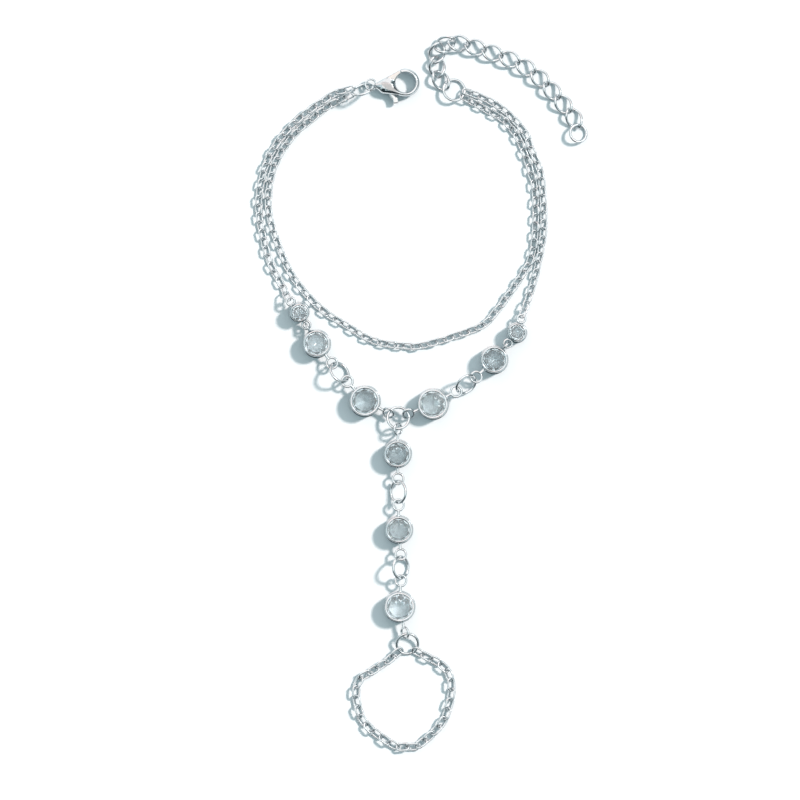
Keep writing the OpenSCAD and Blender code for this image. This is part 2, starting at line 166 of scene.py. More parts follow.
def joined(parts):
    """Several shells as one."""
    points, faces, start = [], [], 0
    for p, f in parts:
        points.append(np.asarray(p, float))
        faces += [tuple(i + start for i in face) for face in f]
        start += len(p)
    return np.concatenate(points), faces


def moved(shell, matrix):
    points, faces = shell
    m = np.array(matrix)
    return points @ m[:3, :3].T + m[:3, 3], faces


def revolved(profile, steps=96):
    """Closed outline of (radius, height) corners turned about the z axis; it may touch the axis."""
    points, faces, rows = [], [], []
    for r, z in profile:
        if r < 1e-6:
            rows.append([len(points)] * steps)
            points.append((0, 0, z))
        else:
            rows.append(list(range(len(points), len(points) + steps)))
            points += [(r * cosd(360 * s / steps), r * sind(360 * s / steps), z) for s in range(steps)]
    for a, b in zip(rows, rows[1:] + rows[:1]):
        for s in range(steps):
            e = (s + 1) % steps
            face = []
            for corner in (a[s], a[e], b[e], b[s]):
                if corner not in face:
                    face.append(corner)
            if len(face) > 2:
                faces.append(tuple(face))
    return np.array(points), faces


def arc(centre, r, start, end, steps):
    """Points of an arc in an outline."""
    return [(centre[0] + r * cosd(a), centre[1] + r * sind(a))
            for a in np.linspace(start, end, steps)]


def pebble(half, power=2.0, steps=40):
    """Ball with half sizes along x, y and z, squarer as the power goes up."""
    profile = [(cosd(a), sind(a)) if abs(a) < 90 else (0, sind(a)) for a in range(-90, 91, 10)]
    points, faces = revolved(profile, steps)
    reach = (np.abs(points) ** power).sum(axis=1, keepdims=True) ** (1 / power)
    return points / reach * half, faces


def torus(mean_r, wire_r, steps=64, sides=20):
    return revolved(arc((mean_r, 0), wire_r, 0, 360 - 360 / sides, sides), steps)


def mesh_of(name, points, edges=(), faces=()):
    mesh = bpy.data.meshes.new(name)
    mesh.from_pydata(points, edges, faces)
    return mesh


def in_scene(name, data):
    """New object of a mesh, light or camera."""
    made = bpy.data.objects.new(name, data)
    bpy.context.scene.collection.objects.link(made)
    return made


def finished(name, shell, material, body="bracelet", replaces=(), sharp=35):
    """Makes the piece of a shell in millimetres, in its material."""
    points, faces = shell
    mesh = mesh_of(name, (np.asarray(points) * MM).tolist(), faces=faces)
    mesh.validate()
    mesh.materials.append(material)
    return handed_over(name, mesh, replaces, body, sharp)


def handed_over(name, mesh, replaces, body="bracelet", sharp=35):
    """Makes the piece of a mesh in metres; faces that meet at more than the sharp angle keep their edge."""
    mesh.polygons.foreach_set("use_smooth", [True] * len(mesh.polygons))
    if sharp is not None:
        mesh.set_sharp_from_angle(angle=math.radians(sharp))
    piece = in_scene(name, mesh)
    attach(piece, body)
    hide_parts(*replaces)
    return piece


# Node helpers

def add(tree, kind, values=None, **options):
    """New node in a tree; values sets its inputs, by name or number, to values or other nodes' sockets."""
    node = tree.nodes.new(kind)
    for key, value in options.items():
        setattr(node, key, value)
    for key, value in (values or {}).items():
        if isinstance(value, bpy.types.NodeSocket):
            tree.links.new(value, node.inputs[key])
        else:
            node.inputs[key].default_value = value
    return node


def maths(tree, operation, *values):
    return add(tree, "ShaderNodeMath", dict(enumerate(values)), operation=operation).outputs[0]


def object_place(tree):
    return add(tree, "ShaderNodeTexCoord").outputs["Object"]


def noise(tree, place, scale, detail, **values):
    return add(tree, "ShaderNodeTexNoise",
               {"Vector": place, "Scale": scale, "Detail": detail, **values}).outputs["Fac"]


def ramp(tree, value, low, high, start=0.0, end=1.0, kind="LINEAR"):
    """Goes from start to end as the value goes from low to high, and stays there outside them."""
    limits = {"From Min": low, "From Max": high, "To Min": start, "To Max": end}
    return add(tree, "ShaderNodeMapRange", {"Value": value, **limits}, interpolation_type=kind).outputs[0]


def mixed(tree, share, none, full):
    """Colour between none and full, by the share."""
    return add(tree, "ShaderNodeMix", {"Factor": share, 6: none, 7: full}, data_type="RGBA").outputs[2]


def group_tree(name, kind, inputs, outputs):
    """Empty node group with named sockets: {name: (socket type, default)} in, {name: socket type} out."""
    tree = bpy.data.node_groups.new(name, kind)
    for key, (socket, default) in inputs.items():
        made = tree.interface.new_socket(key, in_out="INPUT", socket_type=socket)
        if default is not None:
            made.default_value = default
    for key, socket in outputs.items():
        tree.interface.new_socket(key, in_out="OUTPUT", socket_type=socket)
    return tree, tree.nodes.new("NodeGroupInput").outputs, tree.nodes.new("NodeGroupOutput").inputs


# Finishes

def plating_group():
    """Bright plating: rosy in places, with fine polishing lines, and painted shade on its sides, darker where
    the surface turns away from straight up, standing in for the shade the sides reflect.
    """
    tree, given, out = group_tree("bright plating", "ShaderNodeTree", {
        "Metal": ("NodeSocketColor", (0.93, 0.935, 0.94, 1)),
        "Rosy": ("NodeSocketColor", (0.96, 0.90, 0.89, 1)),
        "Patch Scale": ("NodeSocketFloat", 600.0),
        "Line Scale": ("NodeSocketFloat", 9000.0),
        "Roughness": ("NodeSocketFloat", 0.07),
        "Bloom": ("NodeSocketFloat", 0.10),
        "Painted Side Shade": ("NodeSocketColor", (0.34, 0.41, 0.44, 1)),
        "Side Low": ("NodeSocketFloat", 0.25),
        "Side High": ("NodeSocketFloat", 0.78),
    }, {"Color": "NodeSocketColor", "Roughness": "NodeSocketFloat", "Height": "NodeSocketFloat"})
    place = object_place(tree)
    rosy = ramp(tree, noise(tree, place, given["Patch Scale"], 3.0, Roughness=0.55), 0.48, 0.66)
    tint = mixed(tree, rosy, given["Metal"], given["Rosy"])
    along_strokes = add(tree, "ShaderNodeMapping", {"Vector": place, "Scale": (1.0, 0.12, 1.0)}).outputs[0]
    lines = noise(tree, along_strokes, given["Line Scale"], 2.0)
    bloom = maths(tree, "MULTIPLY", rosy, given["Bloom"])
    normal = add(tree, "ShaderNodeTexCoord").outputs["Normal"]
    up = add(tree, "ShaderNodeSeparateXYZ", {0: normal}).outputs["Z"]
    # Painted shade: where the normal turns away from straight up, the metal takes the darker side colour in
    # place of the shade it would reflect
    unshaded_top = ramp(tree, up, given["Side Low"], given["Side High"])
    tree.links.new(mixed(tree, unshaded_top, given["Painted Side Shade"], tint), out["Color"])
    tree.links.new(maths(tree, "ADD", given["Roughness"], bloom), out["Roughness"])
    tree.links.new(lines, out["Height"])
    return tree


def handling_group():
    """Faint finger film: cloudy patches that dull a polished surface a little."""
    tree, given, out = group_tree("handling film", "ShaderNodeTree", {
        "Scale": ("NodeSocketFloat", 350.0),
        "Amount": ("NodeSocketFloat", 0.08),
    }, {"Film": "NodeSocketFloat"})
    clouds = noise(tree, object_place(tree), given["Scale"], 4.0, Roughness=0.6)
    patches = ramp(tree, clouds, 0.5, 0.75)
    tree.links.new(maths(tree, "MULTIPLY", patches, given["Amount"]), out["Film"])
    return tree


PLATING = plating_group()
HANDLING = handling_group()
LINE_DEPTH, LINE_HEIGHT = 0.06, 0.00002


def new_material(name):
    material = bpy.data.materials.new(name)
    material.use_nodes = True
    tree = material.node_tree
    return material, tree, tree.nodes["Principled BSDF"]


def grouped(tree, group, values):
    """Places a node group in a material, with values for its named inputs, and returns its outputs."""
    node = add(tree, "ShaderNodeGroup", node_tree=group)
    for key, value in values.items():
        node.inputs[key].default_value = value
    return node.outputs


def silver(name, values, film=0.05):
    """Plated metal; values are the plating group's inputs, and film says how much it has been handled."""
    material, tree, surface = new_material(name)
    plating = grouped(tree, PLATING, values)
    handling = grouped(tree, HANDLING, {"Amount": film})
    rough = maths(tree, "ADD", plating["Roughness"], handling["Film"])
    bump = add(tree, "ShaderNodeBump", {"Height": plating["Height"], "Strength": LINE_DEPTH,
                                        "Distance": LINE_HEIGHT})
    surface.inputs["Metallic"].default_value = 1.0
    tree.links.new(plating["Color"], surface.inputs["Base Color"])
    tree.links.new(rough, surface.inputs["Roughness"])
    tree.links.new(bump.outputs["Normal"], surface.inputs["Normal"])
    return material


# Brushed oval on the clasp's cast body, greyed with painted shade that stands in for the darker reflection in
# the middle of its dome: its middle, heading and half sizes, and its finish
OVAL_XY, OVAL_HEADING, OVAL_HALF_L, OVAL_HALF_W = (-2.3, 28.3), -27, 2.3, 0.85
OVAL_PAINTED_SHADE, OVAL_STRENGTH, OVAL_DULLER = (0.50, 0.47, 0.46, 1), 0.85, 0.14


def brushed_oval_with_painted_shade(material):
    """Brushes the oval into the material: duller metal, greyer by painted shade that stands in for a darker
    reflection, with an edge that fades in streaks.
    """
    tree = material.node_tree
    surface = tree.nodes["Principled BSDF"]
    oval = add(tree, "ShaderNodeMapping", {
        "Vector": object_place(tree), "Location": (OVAL_XY[0] * MM, OVAL_XY[1] * MM, 0.0),
        "Rotation": (0.0, 0.0, math.radians(OVAL_HEADING)),
        "Scale": (OVAL_HALF_L * MM, OVAL_HALF_W * MM, 1.0)}, vector_type="TEXTURE").outputs[0]
    distance = add(tree, "ShaderNodeVectorMath", {0: oval}, operation="LENGTH").outputs["Value"]
    along_strokes = add(tree, "ShaderNodeMapping", {"Vector": oval, "Scale": (0.5, 5.0, 1.0)}).outputs[0]
    streaks = noise(tree, along_strokes, 2.0, 3.0)
    reach = maths(tree, "ADD", distance, maths(tree, "MULTIPLY", streaks, 0.5))
    brushed_and_shaded = ramp(tree, reach, 1.35, 0.85, end=OVAL_STRENGTH, kind="SMOOTHSTEP")
    colour = surface.inputs["Base Color"].links[0].from_socket
    rough = surface.inputs["Roughness"].links[0].from_socket
    # Painted shade: the oval's grey stands in for a darker reflection; its added roughness is real brushing
    tree.links.new(mixed(tree, brushed_and_shaded, colour, OVAL_PAINTED_SHADE), surface.inputs["Base Color"])
    tree.links.new(maths(tree, "MULTIPLY_ADD", brushed_and_shaded, OVAL_DULLER, rough), surface.inputs["Roughness"])
    return material


# Glass of the stones: how clear it is, how strongly it bends light, and what its shadow keeps
CLEARNESS, BENDING, SHADOW_SHARE = 0.9, 1.54, 0.12


def stone_glass(name, deep, pale):
    """Clear glass with a slight cloud of two tints inside and a film on its facets."""
    material, tree, surface = new_material(name)
    cloud = noise(tree, object_place(tree), 420.0, 3.0)
    handling = grouped(tree, HANDLING, {"Scale": 700.0, "Amount": 0.06})
    tree.links.new(mixed(tree, cloud, deep, pale), surface.inputs["Base Color"])
    tree.links.new(handling["Film"], surface.inputs["Roughness"])
    shaded = add(tree, "ShaderNodeLightPath").outputs["Is Shadow Ray"]
    tree.links.new(ramp(tree, shaded, 0.0, 1.0, start=1.0, end=SHADOW_SHARE), surface.inputs["Alpha"])
    surface.inputs["Transmission Weight"].default_value = CLEARNESS
    surface.inputs["IOR"].default_value = BENDING
    return material


setting_silver = silver("setting silver", {"Patch Scale": 420.0}, film=0.04)
ring_silver = silver("ring silver", {"Patch Scale": 700.0})
# Chain metal, with a lighter painted shade on the sides of its wires
chain_silver = silver("chain silver", {"Patch Scale": 900.0, "Roughness": 0.10,
                                       "Painted Side Shade": (0.46, 0.52, 0.55, 1)}, film=0.03)
clasp_silver = brushed_oval_with_painted_shade(silver("cast clasp silver", {"Patch Scale": 300.0, "Roughness": 0.06,
                                                         "Bloom": 0.06}))
lever_silver = silver("lever silver", {"Patch Scale": 160.0, "Roughness": 0.12,
                                       "Metal": (0.93, 0.90, 0.88, 1), "Rosy": (0.90, 0.82, 0.77, 1)})
GREY_BLUE = stone_glass("grey-blue glass", (0.60, 0.70, 0.74, 1), (0.78, 0.86, 0.88, 1))
PALER_PAINTED_LIGHT = stone_glass("light glass", (0.69, 0.79, 0.82, 1), (0.86, 0.93, 0.95, 1))
PALEST_PAINTED_LIGHT = stone_glass("pale glass", (0.76, 0.87, 0.91, 1), (0.92, 0.98, 1.0, 1))
# Glass of each stone, by its setting's number; the paler copies of the grey-blue glass are painted light,
# standing in for light that passes through those stones onto the floor beneath
STONE_GLASS = [PALEST_PAINTED_LIGHT, PALEST_PAINTED_LIGHT, GREY_BLUE, PALER_PAINTED_LIGHT, GREY_BLUE, PALEST_PAINTED_LIGHT, GREY_BLUE, PALER_PAINTED_LIGHT, PALEST_PAINTED_LIGHT]


# Settings: revolved wall with a rolled rim, a seat and two soldered eyes

# Outside of the wall from its foot up: how far in from the setting's radius, and how high
WALL_ROWS = [(0.08, 0), (0.02, 0.05), (0, 0.12), (0.02, 0.2), (0.08, 0.25), (0.12, 0.26), (0.14, 0.36),
             (0.15, 1.2), (0.24, 2.6)]
# Rim: width and height of its rounding on the outside and inside, and how low its shoulders are
RIM_INSET, OUTER_W, OUTER_H, INNER_W, INNER_H = 0.25, 0.2, 0.34, 0.1, 0.15
SHOULDER, INNER_SHOULDER, RIM_FOOT = 0.03, 0.05, 0.27
# Edge of the rim over the stone: share of the stone's radius, and a little less
HOLD_SHARE, HOLD_LESS = 0.92, 0.02
FOOT_EDGE = 0.05
# Stem: how far out and how far along from the wall, then how far out and how far before the eye
STEM_SHARE = 0.65
STEM_FLARE = [(0.22, 0), (0.1, 0.1), (0.03, 0.25), (0, 0.45)]
STEM_END = [(0, 0.35), (0.05, 0.15), (0.02, 0)]
STEM_SINK, BEAD_R, BEAD_OUT = 0.38, 0.34, 0.02
# Shares of the stone's width: its flat table, its stars and the small facets round its point
TABLE_SHARE, STAR_SHARE, KEEL_SHARE = 0.78, 0.92, 0.3


def domed_rim(outside, inside):
    """Top of the wall, rounded over from its outside to the edge that holds the stone."""
    low, high = outside - OUTER_W, inside + INNER_W
    over = [(low + OUTER_W * cosd(a), SETTING_H - SHOULDER - OUTER_H * (1 - sind(a)))
            for a in range(0, 81, 10)]
    crest = [(low, SETTING_H - SHOULDER), ((low + high) / 2, SETTING_H), (high, SETTING_H - SHOULDER)]
    back = [(high - INNER_W * sind(a), SETTING_H - INNER_SHOULDER - INNER_H * (1 - cosd(a)))
            for a in range(15, 91, 15)]
    return over + crest + back


def wall_outline(s):
    """Outline of the wall: a bead round the foot, a slight lean, a domed rim and the stone's seat."""
    r = s.d / 2
    inner = r - SETTING_WALL
    slope = s.pavilion_h / s.stone_r
    seat_z = s.girdle_z - STONE_GAP
    back = inner - SEAT_W
    return [
        (back + FOOT_EDGE, 0), *((r - inset, z) for inset, z in WALL_ROWS),
        *domed_rim(r - RIM_INSET, HOLD_SHARE * s.stone_r - HOLD_LESS),
        (inner, SETTING_H - RIM_FOOT), (inner, seat_z),
        (back, seat_z - SEAT_W * slope), (back, FOOT_EDGE),
    ]


def stem_outline(length):
    """Outline of a stem along its own axis, flared where it is soldered at both ends."""
    thin = STEM_SHARE * EYE_WIRE
    return [(0, 0), *((thin + out, along) for out, along in STEM_FLARE),
            *((thin + out, length - before) for out, before in STEM_END), (0, length)]


def soldered_eye(s, heading, close, roll):
    """Eye of a setting, on a stem or, if close, on a bead of solder."""
    r = s.d / 2
    reach = r + eye_reach(close)
    turn = turned(0, 0, heading)
    parts = [moved(torus(CLOSE_EYE_R if close else EYE_R, EYE_WIRE / 2),
                   turn @ Matrix.Translation((reach, 0, EYE_Z)) @ turned(roll))]
    start = r - STEM_SINK
    if close:
        bead = pebble((BEAD_R, BEAD_R, BEAD_R), steps=24)
        parts.append(moved(bead, turn @ Matrix.Translation((r + BEAD_OUT, 0, EYE_Z))))
    else:
        length = reach - EYE_R - start
        parts.append(moved(revolved(stem_outline(length), 32),
                           turn @ Matrix.Translation((start, 0, EYE_Z)) @ turned(0, 90)))
    return parts


def stone_shell(s):
    """Round cut with eight sides: table, stars, kites, girdle, and a pavilion that comes to a point."""
    r, table = s.stone_r, s.stone_r * TABLE_SHARE
    top, girdle, low = s.girdle_z + GIRDLE_T + CROWN_H, s.girdle_z + GIRDLE_T, s.girdle_z
    tip = low - s.pavilion_h
    star, keel, half_step = STAR_SHARE * r, KEEL_SHARE * r, 22.5
    star_z = top - (star * cosd(half_step) - table) / (r - table) * CROWN_H
    keel_z = tip + keel * cosd(half_step) / r * s.pavilion_h

    def ring(radius, z, count, offset=0.0):
        return [(radius * cosd(offset + 360 * k / count), radius * sind(offset + 360 * k / count), z)
                for k in range(count)]
    points = (ring(table, top, 8) + ring(star, star_z, 8, half_step) + ring(r, girdle, 16) + ring(r, low, 16)
              + ring(keel, keel_z, 8, half_step) + [(0, 0, tip)])
    # First point of the table, stars, upper and lower edge of the girdle, keel, and the tip
    T, S, G, L, K, P = 0, 8, 16, 32, 48, 56
    faces = [tuple(range(8))]
    for k in range(8):
        n, g, h = (k + 1) % 8, 2 * k, 2 * k + 1
        m = (2 * k + 2) % 16
        faces += [(T + k, S + k, T + n), (S + k - 1 if k else S + 7, G + g, S + k, T + k),
                  (S + k, G + g, G + h), (S + k, G + h, G + m),
                  (G + g, L + g, L + h, G + h), (G + h, L + h, L + m, G + m),
                  (K + k, L + h, L + g), (K + k, L + m, L + h),
                  (P, K + k, L + g, K + k - 1 if k else K + 7)]
    return np.array(points), faces


for n, s in settings.items():
    metal = joined([revolved(wall_outline(s), 128), *soldered_eye(s, 180, s.close_in, s.roll_in),
                    *soldered_eye(s, s.head_out - s.head_in, s.close_out, s.roll_out)])
    finished(f"bezel_{n}", moved(metal, s.place), setting_silver, replaces=[f"setting_{n}"])
    finished(f"cut_stone_{n}", moved(stone_shell(s), s.place @ turned(0, 0, 17 * n)),
             STONE_GLASS[n - 1], replaces=[f"stone_{n}"], sharp=1)


# Steps that the trees of rings, links and chains share

def wire_along(tree, line, sides, radius, caps=False):
    """Round wire drawn along a line."""
    section = add(tree, "GeometryNodeCurvePrimitiveCircle", {"Resolution": sides, "Radius": radius})
    return add(tree, "GeometryNodeCurveToMesh",
               {"Curve": line, "Profile Curve": section.outputs[0], "Fill Caps": caps}).outputs[0]


def own_place(tree):
    """Coordinates of each point of a line."""
    return add(tree, "ShaderNodeSeparateXYZ", {0: add(tree, "GeometryNodeInputPosition").outputs[0]}).outputs


def redrawn(tree, line, x, y, z=0.0):
    """Line with its points at new coordinates."""
    place = add(tree, "ShaderNodeCombineXYZ", {0: x, 1: y, 2: z}).outputs[0]
    return add(tree, "GeometryNodeSetPosition", {"Geometry": line, "Position": place}).outputs[0]


def drawn_lot(tree, seed, low=0.0, high=1.0):
    """Random value for each point, between low and high."""
    return add(tree, "FunctionNodeRandomValue", {2: low, 3: high, "Seed": seed}, data_type="FLOAT").outputs[1]


def turned_further(tree, rotation, axis, angle):
    """Rotation with a further turn about one of its own axes."""
    turn = add(tree, "FunctionNodeAxisAngleToRotation", {"Axis": axis, "Angle": angle}).outputs[0]
    return add(tree, "FunctionNodeRotateRotation", {"Rotation": rotation, "Rotate By": turn},
               rotation_space="LOCAL").outputs[0]


def set_out(tree, points, shape, rotation, finish, out):
    """Ends a tree: the shape stands on every point, is made real and gets its finish."""
    placed = add(tree, "GeometryNodeInstanceOnPoints",
                 {"Points": points, "Instance": shape, "Rotation": rotation}).outputs[0]
    real = add(tree, "GeometryNodeRealizeInstances", {0: placed}).outputs[0]
    last = add(tree, "GeometryNodeSetMaterial", {"Geometry": real, "Material": finish}).outputs[0]
    tree.links.new(last, out["Geometry"])
    return tree


# Rings and links, placed by points that carry their turn

def wire_tree(name, inputs, shape):
    """Tree that puts one wire shape on every point, turned by the point's own turn."""
    tree, given, out = group_tree(name, "GeometryNodeTree", {
        "Geometry": ("NodeSocketGeometry", None), **inputs,
        "Wire": ("NodeSocketFloat", 0.3), "Sides": ("NodeSocketInt", 16),
        "Finish": ("NodeSocketMaterial", None),
    }, {"Geometry": "NodeSocketGeometry"})
    wire = wire_along(tree, shape(tree, given), given["Sides"], given["Wire"], caps=True)
    turn = add(tree, "GeometryNodeInputNamedAttribute", {"Name": "turn"}, data_type="FLOAT_VECTOR")
    rotation = add(tree, "FunctionNodeEulerToRotation", {0: turn.outputs[0]}).outputs[0]
    return set_out(tree, given["Geometry"], wire, rotation, given["Finish"], out)


def split_ring(tree, given):
    """Circle left open by the jump ring's cut."""
    sweep = maths(tree, "SUBTRACT", math.tau, given["Cut"])
    return add(tree, "GeometryNodeCurveArc", {"Resolution": 72, "Radius": given["Radius"],
                                              "Start Angle": maths(tree, "MULTIPLY", given["Cut"], 0.5),
                                              "Sweep Angle": sweep}).outputs[0]


def curb_loop(tree, given):
    """Closed oval with a twist: its two ends are rolled opposite ways, so that links lie flat."""
    oval = add(tree, "GeometryNodeCurvePrimitiveCircle", {"Resolution": 48, "Radius": 1.0}).outputs[0]
    unit = own_place(tree)
    width = maths(tree, "MULTIPLY", unit["Y"], given["Half Width"])
    roll = maths(tree, "MULTIPLY", unit["X"], given["Twist"])
    return redrawn(tree, oval, maths(tree, "MULTIPLY", unit["X"], given["Half Length"]),
                   maths(tree, "MULTIPLY", width, maths(tree, "COSINE", roll)),
                   maths(tree, "MULTIPLY", width, maths(tree, "SINE", roll)))


def modified_mesh(name, host_mesh, tree, values):
    """Plain mesh that a tree makes of a mesh of points, with the tree's inputs given by name."""
    host = in_scene(name + "_host", host_mesh)
    modifier = host.modifiers.new(tree.name, "NODES")
    modifier.node_group = tree
    for item in tree.interface.items_tree:
        if item.item_type == "SOCKET" and item.in_out == "INPUT" and item.name in values:
            modifier[item.identifier] = values[item.name]
    evaluated = host.evaluated_get(bpy.context.evaluated_depsgraph_get())
    mesh = bpy.data.meshes.new_from_object(evaluated)
    mesh.name = name
    mesh.transform(Matrix.Scale(MM, 4))
    bpy.data.objects.remove(host)
    return mesh


def points_with_turns(name, rows):
    """Mesh of loose points, each with its turn in radians; rows are (place, (x, y, z) degrees)."""
    mesh = mesh_of(name, [tuple(place) for place, _ in rows])
    turns = mesh.attributes.new("turn", "FLOAT_VECTOR", "POINT")
    turns.data.foreach_set("vector", np.radians([turn for _, turn in rows]).ravel())
    return mesh


def aimed(start, end, roll):
    """Place and turn of a ring whose own x axis runs from one eye to the next."""
    d, middle = end - start, (start + end) / 2
    flat = math.hypot(d.x, d.y)
    return ((middle.x, middle.y, max(middle.z, EYE_Z)),
            (roll, -math.degrees(math.atan2(d.z, flat)), math.degrees(math.atan2(d.y, d.x))))


# How far each loose ring leans over, in degrees
CENTRE_LEAN, FINGER_LEAN, CLASP_LEAN, EXTENDER_LEAN, END_LEAN = 11, 21, 62, 16, 20
FINGER_LOOSE = 0.4


def centre_ring():
    a, b = settings[3].near_eye(), settings[4].near_eye()
    z = (a.z + b.z) / 2 + RING_R * sind(CENTRE_LEAN) * sind(settings[4].head_in)
    return (*CENTRE_RING, z), (-CENTRE_LEAN, -math.degrees(math.atan2(b.z - a.z, b.x - a.x)), 0)


def lying_z(mean_r, wire, lean):
    """Height of the middle of a leaning ring whose low side rests on the surface."""
    return mean_r * sind(lean) + wire / 2


def finger_ring():
    eye, heading = settings[LAST].far_eye(), settings[LAST].head_out
    xy = np.array([eye.x, eye.y]) + ring_reach(FINGER_LOOSE) * way(heading)
    return (*xy, lying_z(RING_R, RING_WIRE, FINGER_LEAN)), (0, FINGER_LEAN, heading)


# The clasp's ring hangs in its tail eye, a little short of its full reach
TAIL_EYE = CLASP - CLASP_REACH * way(CLASP_HEADING)
CLASP_RING_HEADING, CLASP_RING_SHORT = 212, 0.15
CLASP_RING = TAIL_EYE + (RING_R - CLASP_RING_SHORT) * way(CLASP_RING_HEADING)
finger_ring_place = finger_ring()
FINGER_RING = np.array(finger_ring_place[0][:2])

ring_tree = wire_tree("jump rings", {"Radius": ("NodeSocketFloat", 2.4), "Cut": ("NodeSocketFloat", 0.06)},
                      split_ring)
rings = [
    *(aimed(settings[a].far_eye(), settings[b].near_eye(), roll)
      for a, b, roll in ((3, 2, RING_ROLL), (4, 5, RING_ROLL), (7, 8, RING_ROLL), (8, 9, -RING_ROLL))),
    centre_ring(),
    finger_ring_place,
    ((*CLASP_RING, lying_z(RING_R, RING_WIRE, CLASP_LEAN)), (-CLASP_LEAN, 0, 18)),
    ((*EXTENDER_RING, lying_z(RING_R, RING_WIRE, EXTENDER_LEAN)), (EXTENDER_LEAN, 0, 144)),
]
mesh = modified_mesh("jump_rings", points_with_turns("ring points", rings), ring_tree,
                     {"Radius": RING_R, "Wire": RING_WIRE / 2, "Finish": ring_silver})
handed_over("jump_rings", mesh, ["ring_left", "ring_right", "ring_drop_upper", "ring_drop_lower",
                                 "ring_centre", "finger_ring", "clasp_ring", "extender_ring"])

# Extender: heading of the step to each link, its share of the full pitch, its roll
EXTENDER = [
    (144, 0.9, 0), (106, 0.775, 0), (90, 0.77, 0), (47, 0.66, 12), (4, 0.76, 0), (-14, 0.93, 0),
    (-18, 0.98, 0), (-20, 1, 0), (-27, 1, 0), (-37, 0.98, 0), (-46, 0.96, 0), (-50, 0.96, 0),
    (-53, 0.97, 0),
]
END_RING_HEADING, END_PLAY, LINK_PLAY, LINK_TWIST = -74, 0.15, 0.06, 45
HALF_L, HALF_W = (LINK_L - LINK_WIRE) / 2, (LINK_W - LINK_WIRE) / 2
LINK_PITCH = 2 * HALF_L - LINK_WIRE - LINK_PLAY
END_RING_R = (END_RING_D - LINK_WIRE) / 2


def extender_rows():
    """Place and turn of each link of the extender, and of the ring that ends it."""
    rows = []
    hold = RING_R + HALF_L - (RING_WIRE + LINK_WIRE) / 2 - END_PLAY
    xy = EXTENDER_RING + (hold - (1 - EXTENDER[0][1]) * LINK_PITCH) * way(EXTENDER[0][0])
    for k, (heading, share, roll) in enumerate(EXTENDER):
        if k:
            xy = xy + LINK_PITCH * share * way(heading)
        following = EXTENDER[k + 1][0] if k + 1 < len(EXTENDER) else END_RING_HEADING
        drop = max(abs(HALF_W * sind(t) * sind(LINK_TWIST * cosd(t) + roll)) for t in range(0, 360, 5))
        rows.append(((*xy, LINK_WIRE / 2 + drop), (roll, 0, (heading + following) / 2)))
    end = xy + (END_RING_R + HALF_L - LINK_WIRE - END_PLAY) * way(END_RING_HEADING)
    return rows, ((*end, lying_z(END_RING_R, LINK_WIRE, END_LEAN)), (-END_LEAN, 0, END_RING_HEADING))


link_rows, end_ring_row = extender_rows()
curb_tree = wire_tree("curb links", {
    "Half Length": ("NodeSocketFloat", 2.35), "Half Width": ("NodeSocketFloat", 1.65),
    "Twist": ("NodeSocketFloat", 0.79)}, curb_loop)
mesh = modified_mesh("curb_links", points_with_turns("link points", link_rows), curb_tree,
                     {"Half Length": HALF_L, "Half Width": HALF_W, "Twist": math.radians(LINK_TWIST),
                      "Wire": LINK_WIRE / 2, "Sides": 14, "Finish": chain_silver})
handed_over("curb_links", mesh, [f"extender_link_{k + 1}" for k in range(len(EXTENDER))])
mesh = modified_mesh("extender_end", points_with_turns("end point", [end_ring_row]), ring_tree,
                     {"Radius": END_RING_R, "Wire": LINK_WIRE / 2, "Finish": chain_silver})
handed_over("extender_end", mesh, ["extender_end_ring"])


# Cable chains along the part's routes

# Points round a small link, and sides of its wire
LINK_POINTS, LINK_SIDES = 12, 6
# Random draw that leaves a link's lean as it is, and the step from the first draw's seed to the second's
PLAIN_DRAW, SEED_STEP = 0.6, 40.0


